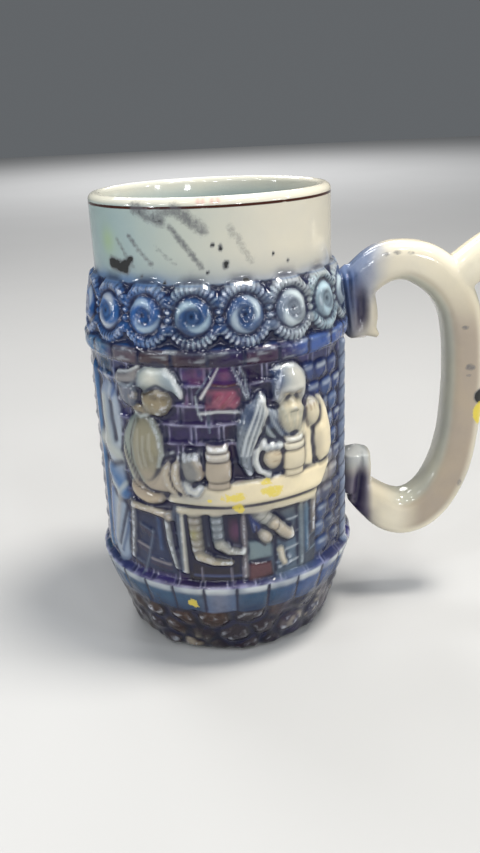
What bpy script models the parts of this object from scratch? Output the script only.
"""A relief mug: one porcelain body with a drinking scene in relief, a scrolled handle and a thumb rest.

Sizes are millimetres until the last step, which writes metres. The underside is centred on the origin, the
scene faces -Y and the handle points to +X. The relief is a height over the wall, worked out over two
coordinates: the way round, measured in millimetres of arc from -Y towards +X, and the height above the
foot of its own zone.
"""

import math

import bmesh
import bpy
import numpy as np
from mathutils import Matrix

MM = 0.001

# Heights of the zones, from the table upwards
FOOT_HEIGHT = 21.0
BAND_HEIGHT = 10.4
SCENE_HEIGHT = 76.1
RING_HEIGHT = 5.5
GARLAND_HEIGHT = 19.0
NECK_HEIGHT = 25.0

# Radii of the wall before relief
FOOT_RADIUS = 34.6
FOOT_TOP_RADIUS = 43.6
LEDGE_RADIUS = 46.4
WALL_RADIUS = 44.3
RING_RADIUS = 45.2
NECK_RADIUS = 40.2
LIP_ROUND = 2.2

# The hollow and the foot ring
WALL_THICKNESS = 4.2
FLOOR_THICKNESS = 6.5
INNER_CORNER = 11.0
FOOT_RING_WIDTH = 3.0
FOOT_RING_DEPTH = 0.8

# Counts round the mug
BLOCKS = 26
ROSETTES = 17
ROCKS = 24
ROCK_ROWS = 3

# Depths of the relief
BLOCK_DEPTH = 0.9
ROCK_DEPTH = 2.0
ROSETTE_DEPTH = 2.0
FIGURE_DEPTH = 3.2
EDGE = 1.0

# The handle, whose reach is from the wall to its outer face
HANDLE_REACH = 50.4
HANDLE_WIDTH = 14.5
HANDLE_DEPTH = 14.2
THUMB_RISE = 13.0

# How finely the solids are cut up
COLUMNS = 288
ROW = 1.0
PLAIN_COLUMNS = 72
TUBE_SIDES = 12
JOINED = 0.01
BODY_TRIANGLES = 5500

BAND_FOOT = FOOT_HEIGHT
SCENE_FOOT = BAND_FOOT + BAND_HEIGHT
RING_FOOT = SCENE_FOOT + SCENE_HEIGHT
GARLAND_FOOT = RING_FOOT + RING_HEIGHT
NECK_FOOT = GARLAND_FOOT + GARLAND_HEIGHT
HEIGHT = NECK_FOOT + NECK_HEIGHT

# The sizes that the relief is drawn for. It stretches with the zones and depths above
DRAWN_RADIUS = 45.0
DRAWN_HEIGHT = 76.1
DRAWN_FIGURE_DEPTH = 3.2
DRAWN_GARLAND_HEIGHT = 19.0
DRAWN_ROSETTE_DEPTH = 2.0


def smooth(x):
    x = np.clip(x, 0.0, 1.0)
    return x * x * (3.0 - 2.0 * x)


class Relief:
    """A height field in which each form covers what lies behind it."""

    def __init__(self, u, v):
        self.u = u
        self.v = v
        self.height = np.zeros_like(u)

    def cover(self, inside, reach, base, rise):
        """Lays a form down: inside is the distance in from its edge, reach how far in it goes on rising."""
        share = smooth(inside / EDGE + 0.5)
        crown = 1.0 - (1.0 - np.clip(inside / reach, 0.0, 1.0)) ** 2.2
        self.height = self.height * (1.0 - share) + (base + rise * crown) * share

    def oval(self, centre, radii, base, rise, tilt=0.0):
        du = self.u - centre[0]
        dv = self.v - centre[1]
        turn = math.radians(tilt)
        x = (du * math.cos(turn) + dv * math.sin(turn)) / radii[0]
        y = (dv * math.cos(turn) - du * math.sin(turn)) / radii[1]
        small = min(radii)
        self.cover((1.0 - np.hypot(x, y)) * small, small, base, rise)

    def stroke(self, points, radii, base, rise):
        """A rounded band along points, whose half width goes evenly from the first radius to the last."""
        radii = np.linspace(radii[0], radii[-1], len(points)) if len(radii) != len(points) else radii
        inside = np.full_like(self.u, -1e3)
        for (a, ra), (b, rb) in zip(zip(points, radii), zip(points[1:], radii[1:])):
            along = (b[0] - a[0], b[1] - a[1])
            length = along[0] ** 2 + along[1] ** 2
            t = ((self.u - a[0]) * along[0] + (self.v - a[1]) * along[1]) / length
            t = np.clip(t, 0.0, 1.0)
            away = np.hypot(self.u - a[0] - t * along[0], self.v - a[1] - t * along[1])
            inside = np.maximum(inside, ra + t * (rb - ra) - away)
        self.cover(inside, max(radii), base, rise)

    def plate(self, corners, base, rise, reach):
        """A form with straight sides, given by its corners in order."""
        away = np.full_like(self.u, 1e3)
        within = np.zeros(self.u.shape, bool)
        for a, b in zip(corners, corners[1:] + corners[:1]):
            along = (b[0] - a[0], b[1] - a[1])
            length = along[0] ** 2 + along[1] ** 2
            t = ((self.u - a[0]) * along[0] + (self.v - a[1]) * along[1]) / length
            t = np.clip(t, 0.0, 1.0)
            away = np.minimum(away, np.hypot(self.u - a[0] - t * along[0], self.v - a[1] - t * along[1]))
            crosses = (a[1] > self.v) != (b[1] > self.v)
            if along[1]:
                within ^= crosses & (self.u < a[0] + (self.v - a[1]) * along[0] / along[1])
        self.cover(np.where(within, away, -away), reach, base, rise)

    def tankard(self, centre, foot, width, height, base, rise):
        """A small drinking mug: a barrel with a base band and two bands under its rim."""
        half = width / 2
        self.stroke([(centre, foot + half), (centre, foot + height - half)], [half, half], base, rise)
        self.band(centre, foot + 0.10 * height, half * 0.95, base + 0.3, rise)
        self.band(centre, foot + 0.78 * height, half * 1.02, base + 0.4, rise)
        self.band(centre, foot + 0.94 * height, half * 0.80, base + 0.2, rise)

    def band(self, centre, level, half, base, rise):
        """A short level roll, such as one hoop of a tankard."""
        thick = half * 0.32
        self.stroke([(centre - half + thick, level), (centre + half - thick, level)], [thick, thick],
                    base + 0.5 * rise, 0.5 * rise)


def field_stones(relief):
    """The bulging stones of the chimney side, behind the right-hand drinker."""
    for row in range(8):
        level = 21.0 + row * 7.0
        for column in range(3):
            middle = 34.0 + 7.4 * column + 3.2 * (row % 2)
            relief.oval((middle, level), (4.0, 3.6), 0.3, 1.5, 20.0 * (column - 1))


def hearth(relief):
    """The fireplace in the middle: a hood, its mantel and the opening."""
    relief.plate([(-1.5, 76.0), (3.5, 76.0), (9.5, 66.0), (-6.8, 66.0)], 0.8, 0.5, 3.0)
    relief.stroke([(-1.0, 75.0), (-6.0, 66.0)], [0.6], 1.4, 0.5)
    relief.stroke([(3.5, 75.0), (9.5, 65.5)], [0.9], 1.4, 0.5)
    relief.plate([(-5.6, 69.6), (7.2, 69.6), (7.2, 62.0), (-5.6, 62.0)], 0.1, 0.0, 1.0)
    relief.stroke([(-6.5, 61.2), (6.0, 61.2)], [0.8], 1.0, 0.5)


def hanging_coats(relief):
    """The soft hanging forms at the left edge, and the post at the right."""
    relief.oval((-43.0, 57.0), (4.6, 8.0), 0.7, 1.3, 12.0)
    relief.oval((-41.5, 43.0), (5.0, 6.5), 0.8, 1.4, -20.0)
    relief.oval((-40.5, 32.0), (4.4, 6.0), 0.7, 1.3, -12.0)
    relief.stroke([(-51.0, 66.0), (-50.0, 40.0), (-52.0, 8.0)], [2.6], 0.6, 1.2)
    relief.stroke([(54.0, 4.0), (53.0, 40.0), (54.0, 74.0)], [3.2], 0.9, 1.5)


def stool(relief):
    relief.stroke([(-34.5, 27.0), (-35.8, 7.5)], [1.2], 0.9, 0.8)
    relief.stroke([(-20.3, 25.0), (-18.4, 7.0)], [1.3], 1.3, 0.8)
    relief.stroke([(-40.2, 28.5), (-43.8, 11.5)], [1.2], 0.7, 0.8)
    relief.stroke([(-33.4, 26.6), (-18.8, 26.0)], [1.6, 1.8], 1.6, 0.9)
    relief.stroke([(-32.0, 18.8), (-26.6, 17.4)], [0.7], 0.6, 0.5)
    relief.stroke([(-33.0, 12.2), (-28.4, 11.0)], [0.7], 0.6, 0.5)
    relief.stroke([(-28.0, 7.4), (-20.6, 6.2)], [0.8], 0.6, 0.5)


def legs(relief):
    """The boots under the table, the crossed leg and its foot."""
    relief.stroke([(10.0, 25.4), (15.5, 22.6), (20.5, 16.6)], [2.4, 2.6, 2.7], 1.4, 1.6)
    relief.stroke([(20.5, 16.4), (22.2, 18.6)], [1.9, 1.5], 1.6, 1.4)
    relief.stroke([(10.6, 19.0), (12.6, 15.6)], [2.1, 2.0], 1.1, 1.4)
    relief.stroke([(18.4, 10.8), (18.6, 6.6)], [1.3, 1.2], 0.7, 0.9)
    relief.stroke([(-3.2, 25.0), (-3.4, 17.5), (-0.6, 13.2), (4.6, 12.0)], [2.3, 2.4, 2.3, 1.7], 1.2, 1.5)
    relief.stroke([(-10.8, 25.0), (-9.8, 12.4), (-5.0, 9.6), (0.4, 9.0)], [2.6, 2.5, 2.0, 1.3], 1.5, 1.6)


def table(relief):
    relief.plate([(26.4, 27.0), (30.0, 27.0), (30.0, 6.5), (27.2, 6.5)], 0.8, 0.6, 1.4)
    relief.plate([(30.4, 27.0), (33.2, 27.0), (32.6, 13.0), (30.8, 13.0)], 1.5, 0.6, 1.2)
    relief.plate([(-17.8, 29.0), (-13.8, 29.0), (-13.6, 4.4), (-17.2, 4.4)], 1.3, 0.8, 1.6)
    relief.plate([(-14.6, 29.6), (33.6, 29.6), (32.6, 25.6), (-14.6, 25.6)], 1.7, 0.3, 1.2)
    relief.plate([(-19.0, 30.2), (35.0, 30.2), (40.0, 38.6), (24.0, 38.8), (-12.0, 37.0), (-18.0, 33.4)],
                 2.3, 0.5, 3.0)


def left_drinker(relief):
    """Seated in profile with a cap and a full sleeve, one hand on a tankard."""
    relief.plate([(-31.0, 60.0), (-35.5, 52.0), (-35.4, 40.0), (-32.8, 33.0), (-21.0, 33.0), (-20.0, 56.0)],
                 1.2, 1.4, 5.0)
    relief.oval((-26.0, 33.0), (7.2, 4.8), 1.5, 1.9)
    relief.stroke([(-26.5, 55.0), (-26.0, 44.0), (-23.0, 37.6)], [4.6, 5.8, 4.6], 1.9, 2.0)
    relief.stroke([(-24.0, 38.0), (-16.0, 39.2)], [4.8, 5.6], 1.9, 1.9)
    for fold, lean in enumerate((0.9, 0.4, -0.2)):
        middle = -17.0 + 2.9 * fold
        relief.stroke([(middle + lean, 45.4), (middle - 0.8, 40.0), (middle + lean, 34.4)], [1.9], 2.5, 1.3)
    relief.oval((-11.0, 36.0), (3.4, 3.2), 2.2, 1.5)
    relief.tankard(-1.8, 36.4, 8.4, 14.0, 1.6, 2.0)
    relief.oval((-9.4, 43.2), (3.7, 4.4), 2.3, 1.7)
    relief.stroke([(-31.6, 66.0), (-31.0, 60.8)], [2.6, 2.2], 1.2, 1.4)
    relief.stroke([(-29.0, 63.0), (-24.0, 60.6)], [2.4, 2.0], 1.4, 1.0)
    relief.oval((-20.4, 64.6), (5.6, 5.0), 2.1, 1.6)
    relief.stroke([(-34.6, 72.4), (-27.4, 73.4)], [2.0, 2.2], 1.3, 1.3)
    relief.oval((-20.3, 70.8), (7.6, 6.3), 2.3, 1.9, -12.0)
    relief.stroke([(-14.4, 73.6), (-12.4, 67.6)], [1.7, 1.4], 2.4, 1.0)


def right_drinker(relief):
    """Facing out behind the table, a fist under the cheek and a tankard in the other hand."""
    relief.plate([(15.0, 60.0), (31.0, 58.0), (31.0, 39.0), (14.0, 39.0)], 1.5, 0.9, 4.0)
    relief.stroke([(15.6, 58.0), (19.6, 50.6)], [1.6], 1.9, 0.9)
    relief.stroke([(11.6, 62.4), (9.6, 55.0), (7.6, 47.6), (8.4, 41.6)], [3.2, 4.0, 2.9, 2.4], 1.9, 1.9)
    relief.stroke([(12.0, 49.6), (10.6, 45.6), (12.4, 41.0)], [1.3], 2.6, 1.0)
    relief.tankard(22.6, 38.2, 7.8, 12.4, 1.7, 2.0)
    relief.oval((15.0, 45.6), (3.9, 4.2), 2.4, 1.8)
    relief.stroke([(32.0, 60.0), (34.4, 52.0), (35.0, 45.0)], [2.6, 4.2, 4.9], 1.9, 2.1)
    relief.plate([(17.0, 59.0), (27.0, 58.0), (24.4, 51.4), (21.4, 49.8)], 2.0, 1.2, 2.6)
    relief.oval((22.5, 66.2), (5.8, 8.6), 2.2, 1.6)
    relief.oval((30.2, 57.8), (3.1, 4.8), 2.4, 1.7, 8.0)
    relief.oval((22.5, 67.8), (6.0, 6.0), 2.4, 1.8)


def scene(u, v):
    """The relief of the main zone, where v runs from its foot."""
    relief = Relief(u * DRAWN_RADIUS, v / SCENE_HEIGHT * DRAWN_HEIGHT)
    field_stones(relief)
    hearth(relief)
    hanging_coats(relief)
    stool(relief)
    legs(relief)
    table(relief)
    left_drinker(relief)
    right_drinker(relief)
    return relief.height * FIGURE_DEPTH / DRAWN_FIGURE_DEPTH


def rosettes(angle, v):
    """A garland of ring-shaped rosettes with beads between them and a frill above and below."""
    pitch = 2 * math.pi * DRAWN_RADIUS / ROSETTES
    x = (angle * DRAWN_RADIUS - 9.3 + pitch / 2) % pitch - pitch / 2
    relief = Relief(x, v / GARLAND_HEIGHT * DRAWN_GARLAND_HEIGHT)
    for side in (-1.0, 1.0):
        arch = [(7.6 * math.sin(turn), 9.7 + side * 7.8 * math.cos(turn))
                for turn in np.linspace(-1.15, 1.15, 7)]
        relief.stroke(arch, [1.5], 0.3, 1.0)
        for bead in (-1, 0, 1):
            relief.oval((side * pitch / 2, 9.7 + 2.9 * bead), (1.7, 1.5), 0.4, 1.1)
    relief.oval((0.0, 9.7), (6.0, 6.0), 0.5, 1.5)
    relief.oval((0.0, 9.7), (1.9, 1.9), 1.2, -0.6)
    return relief.height * ROSETTE_DEPTH / DRAWN_ROSETTE_DEPTH


def blocks(angle, v):
    """The course of dressed blocks under the scene."""
    across = 2 * math.pi * DRAWN_RADIUS / BLOCKS
    x = (angle * DRAWN_RADIUS - 2.0) / across % 1.0
    side = np.minimum(x, 1.0 - x) * across
    return -BLOCK_DEPTH * (1.0 - smooth(side / 0.9))


def rocks(angle, v):
    """Rough rounded rocks round the foot."""
    up = FOOT_HEIGHT / ROCK_ROWS
    row = np.clip(np.floor(v / up), 0, ROCK_ROWS - 1)
    place = angle / (2 * math.pi) * ROCKS + 0.5 * (row % 2) + 0.12 * np.sin(5.0 * row)
    number = np.floor(place) % ROCKS
    x = place % 1.0 - 0.5
    y = v / up - row - 0.5
    lean = 0.25 * np.sin(7.3 * number + 2.1 * row)
    size = 0.75 + 0.25 * np.sin(3.7 * number + 1.3 * row)
    reach = np.hypot(x + lean * y, y) / 0.62
    return ROCK_DEPTH * size * (1.0 - np.clip(reach, 0.0, 1.2) ** 2.4) - 0.35 * ROCK_DEPTH


def outer_radius(v):
    """The wall's radius before relief, at each height up to the neck."""
    spread = FOOT_TOP_RADIUS - FOOT_RADIUS
    outline = ((0.0, FOOT_RADIUS), (2.0, FOOT_RADIUS + 0.30 * spread), (8.0, FOOT_RADIUS + 0.55 * spread),
               (15.5, FOOT_RADIUS + 0.80 * spread), (BAND_FOOT, FOOT_TOP_RADIUS),
               (SCENE_FOOT - 1.6, LEDGE_RADIUS), (SCENE_FOOT - 0.2, LEDGE_RADIUS),
               (SCENE_FOOT + 1.8, WALL_RADIUS), (RING_FOOT - 0.6, WALL_RADIUS), (RING_FOOT + 0.8, RING_RADIUS),
               (GARLAND_FOOT - 0.8, RING_RADIUS), (GARLAND_FOOT + 0.8, RING_RADIUS - 1.4),
               (GARLAND_FOOT + 0.52 * GARLAND_HEIGHT, NECK_RADIUS + 2.0), (NECK_FOOT, NECK_RADIUS + 0.5))
    heights, radii = zip(*outline)
    return np.interp(v, heights, radii)


def relief_height(angle, v):
    """The whole relief, zone by zone, faded out where the zones meet."""
    parts = ((0.0, BAND_FOOT, rocks), (BAND_FOOT, SCENE_FOOT, blocks),
             (SCENE_FOOT, RING_FOOT, scene), (GARLAND_FOOT, NECK_FOOT, rosettes))
    total = np.zeros_like(angle)
    for low, high, make in parts:
        chosen = (v > low) & (v < high)
        fade = smooth((v - low) / 0.8) * smooth((high - v) / 0.8)
        total[chosen] = (make(angle[chosen], v[chosen] - low) * fade[chosen])
    return total


def spun(name, outline, columns):
    """A closed solid of revolution about Z. The outline starts and ends on the axis."""
    bm = bmesh.new()
    points = [bm.verts.new((radius, 0.0, level)) for radius, level in outline]
    lines = [bm.edges.new(pair) for pair in zip(points, points[1:])]
    bmesh.ops.spin(bm, geom=points + lines, cent=(0, 0, 0), axis=(0, 0, 1), angle=2 * math.pi,
                   steps=columns, use_duplicate=False)
    bmesh.ops.remove_doubles(bm, verts=bm.verts, dist=JOINED)
    bmesh.ops.recalc_face_normals(bm, faces=bm.faces)
    mesh = bpy.data.meshes.new(name)
    bm.to_mesh(mesh)
    bm.free()
    piece = bpy.data.objects.new(name, mesh)
    bpy.context.scene.collection.objects.link(piece)
    return piece


def positions(piece):
    points = np.empty(len(piece.data.vertices) * 3)
    piece.data.vertices.foreach_get("co", points)
    return points.reshape(-1, 3)


def carve(piece):
    """Moves the wall of the spun body out by the relief."""
    points = positions(piece)
    radius = np.hypot(points[:, 0], points[:, 1])
    wall = (points[:, 2] > 0.3) & (radius > FOOT_RADIUS - 0.5)
    angle = np.arctan2(points[wall, 0], -points[wall, 1])
    reach = radius[wall] + relief_height(angle, points[wall, 2])
    points[wall, 0] = reach * np.sin(angle)
    points[wall, 1] = -reach * np.cos(angle)
    piece.data.vertices.foreach_set("co", points.ravel())
    piece.data.update()


def body():
    """The outside of the mug up to the neck, solid right through."""
    ring = FOOT_RADIUS - FOOT_RING_WIDTH
    outline = [(0.0, FOOT_RING_DEPTH), (ring - FOOT_RING_DEPTH, FOOT_RING_DEPTH), (ring, 0.0),
               (FOOT_RADIUS - 0.6, 0.0)]
    levels = np.linspace(0.7, NECK_FOOT, int(NECK_FOOT / ROW))
    outline += [(float(outer_radius(level)), float(level)) for level in levels]
    outline += [(NECK_RADIUS - 1.5, NECK_FOOT + 1.0), (0.0, NECK_FOOT + 1.0)]
    piece = spun("mug", outline, COLUMNS)
    carve(piece)
    return piece


def neck():
    """The plain neck with its rounded lip, which starts inside the body."""
    outline = [(0.0, NECK_FOOT - 6.0), (NECK_RADIUS, NECK_FOOT - 6.0)]
    for turn in np.radians(np.linspace(0.0, 90.0, 5)):
        outline.append((NECK_RADIUS - LIP_ROUND * (1.0 - math.cos(turn)),
                        HEIGHT - LIP_ROUND * (1.0 - math.sin(turn))))
    outline.append((0.0, HEIGHT))
    return hidden(spun("neck", outline, PLAIN_COLUMNS))


def hollow():
    """The cutter for the inside: a floor with a rounded corner, a slight shoulder and a flared lip."""
    neck = NECK_RADIUS - WALL_THICKNESS
    belly = WALL_RADIUS - WALL_THICKNESS - 0.6
    outline = [(0.0, FLOOR_THICKNESS), (belly - INNER_CORNER - 2.0, FLOOR_THICKNESS)]
    for turn in np.radians(np.linspace(22.5, 90.0, 4)):
        outline.append((belly - 2.0 - INNER_CORNER * (1.0 - math.sin(turn)),
                        FLOOR_THICKNESS + INNER_CORNER * (1.0 - math.cos(turn))))
    outline += [(belly, SCENE_FOOT), (belly, RING_FOOT - 2.0), (neck, NECK_FOOT - 2.0),
                (neck, HEIGHT - 2.0), (neck + 0.5, HEIGHT - 0.8), (neck + 1.6, HEIGHT),
                (neck + 1.6, HEIGHT + 3.0), (0.0, HEIGHT + 3.0)]
    return hidden(spun("hollow", outline, PLAIN_COLUMNS))


def hidden(piece):
    piece.hide_render = True
    piece.display_type = "WIRE"
    return piece


def tube(name, stations):
    """A closed tube bent in the plane y = 0 with rounded ends. A station is x, z, half depth, half width."""
    rings = len(stations)
    bm = bmesh.new()
    bmesh.ops.create_uvsphere(bm, u_segments=TUBE_SIDES, v_segments=rings + 1, radius=1.0)
    path = np.array([station[:2] for station in stations])
    way = np.gradient(path, axis=0)
    way /= np.linalg.norm(way, axis=1)[:, None]
    for vert in bm.verts:
        place = math.acos(max(-1.0, min(1.0, vert.co.z))) / math.pi * (rings + 1) - 1.0
        row = min(max(int(round(place)), 0), rings - 1)
        x, z, depth, width = stations[row]
        if place < -0.5 or place > rings - 0.5:
            end = -1.0 if place < 0 else 1.0
            vert.co = (x + end * 0.55 * depth * way[row][0], 0.0, z + end * 0.55 * depth * way[row][1])
            continue
        turn = math.atan2(vert.co.y, vert.co.x)
        out = depth * squared(math.cos(turn))
        side = width * squared(math.sin(turn))
        vert.co = (x + out * way[row][1], side, z - out * way[row][0])
    bmesh.ops.recalc_face_normals(bm, faces=bm.faces)
    mesh = bpy.data.meshes.new(name)
    bm.to_mesh(mesh)
    bm.free()
    piece = bpy.data.objects.new(name, mesh)
    bpy.context.scene.collection.objects.link(piece)
    return hidden(piece)


def squared(share):
    """Fills out a circle's section towards a square with soft corners."""
    return math.copysign(abs(share) ** 0.72, share)


def through(corners, count):
    """A smooth path of count stations through a few key stations."""
    keys = np.array(corners, float)
    turn = np.linspace(0.0, len(keys) - 1.0, count)
    path = []
    for place in turn:
        first = min(int(place), len(keys) - 2)
        t = place - first
        before = keys[max(first - 1, 0)]
        a = keys[first]
        b = keys[first + 1]
        after = keys[min(first + 2, len(keys) - 1)]
        path.append(a + 0.5 * t * (b - before + t * (2 * before - 5 * a + 4 * b - after
                                                      + t * (3 * (a - b) + after - before))))
    return [tuple(float(value) for value in station) for station in path]


def handle():
    """The loop of the handle, the scrolls at its two ends and the thumb rest."""
    foot = SCENE_FOOT + 4.6
    rise = NECK_FOOT - 2.0 - foot
    reach = HANDLE_REACH - HANDLE_DEPTH / 2
    half = HANDLE_DEPTH / 2
    wide = HANDLE_WIDTH / 2

    def at(out, up, depth=1.0, width=1.0):
        return (WALL_RADIUS + reach * out, foot + rise * up, half * depth, wide * width)

    loop = [at(0.10, 0.91, 0.9, 0.95), at(0.29, 0.98, 0.95), at(0.48, 0.995, 0.95), at(0.66, 0.97, 1.05),
            at(0.82, 0.91, 1.05), at(0.93, 0.82, 1.0), at(0.98, 0.71), at(1.0, 0.57), at(0.995, 0.445),
            at(0.975, 0.32), at(0.92, 0.19, 1.05), at(0.81, 0.075, 1.1), at(0.67, 0.005, 1.17),
            at(0.52, -0.02, 1.2), at(0.385, -0.005, 1.13), at(0.26, 0.035, 0.98), at(0.12, 0.095, 0.8, 0.9)]
    upper = [at(0.09, 0.93, 0.95, 0.9), at(0.125, 0.84, 0.98, 0.92), at(0.145, 0.76, 0.95, 0.88)]
    tip = [at(0.09, 0.775, 0.62, 0.85), at(0.19, 0.75, 0.42, 0.8), at(0.275, 0.722, 0.14, 0.7)]
    lower = [at(0.10, 0.09, 0.75, 0.88), at(0.11, 0.18, 0.78, 0.9), at(0.11, 0.25, 0.72, 0.85)]
    thumb = [at(0.90, 0.92, 0.9, 0.92), at(1.05, 0.92 + 0.40 * THUMB_RISE / rise, 0.9, 0.95),
             at(1.18, 0.92 + 0.74 * THUMB_RISE / rise, 0.84, 0.92),
             at(1.27, 0.92 + THUMB_RISE / rise, 0.7, 0.85)]
    return [tube("loop", through(loop, 40)), tube("upper_scroll", through(upper, 7)),
            tube("scroll_tip", through(tip, 5)), tube("lower_scroll", through(lower, 7)),
            tube("thumb", through(thumb, 7))]


def combine(piece, others, operation):
    for other in others:
        modifier = piece.modifiers.new(other.name, "BOOLEAN")
        modifier.operation = operation
        modifier.solver = "EXACT"
        modifier.object = other


def porcelain():
    material = bpy.data.materials.new("glazed_porcelain")
    material.use_nodes = True
    shader = material.node_tree.nodes["Principled BSDF"]
    shader.inputs["Base Color"].default_value = (0.46, 0.46, 0.45, 1.0)
    shader.inputs["Roughness"].default_value = 0.15
    shader.inputs["Metallic"].default_value = 0.0
    return material


def main():
    for old in list(bpy.data.objects):
        bpy.data.objects.remove(old, do_unlink=True)
    mug = body()
    thin = mug.modifiers.new("thin", "DECIMATE")
    thin.ratio = BODY_TRIANGLES / sum(len(face.vertices) - 2 for face in mug.data.polygons)
    top = neck()
    arms = handle()
    combine(mug, [top] + arms, "UNION")
    cup = hollow()
    combine(mug, [cup], "DIFFERENCE")
    mug.data.materials.append(porcelain())
    for piece in [mug, top, cup] + arms:
        piece.data.transform(Matrix.Scale(MM, 4))
        for face in piece.data.polygons:
            face.use_smooth = True


main()
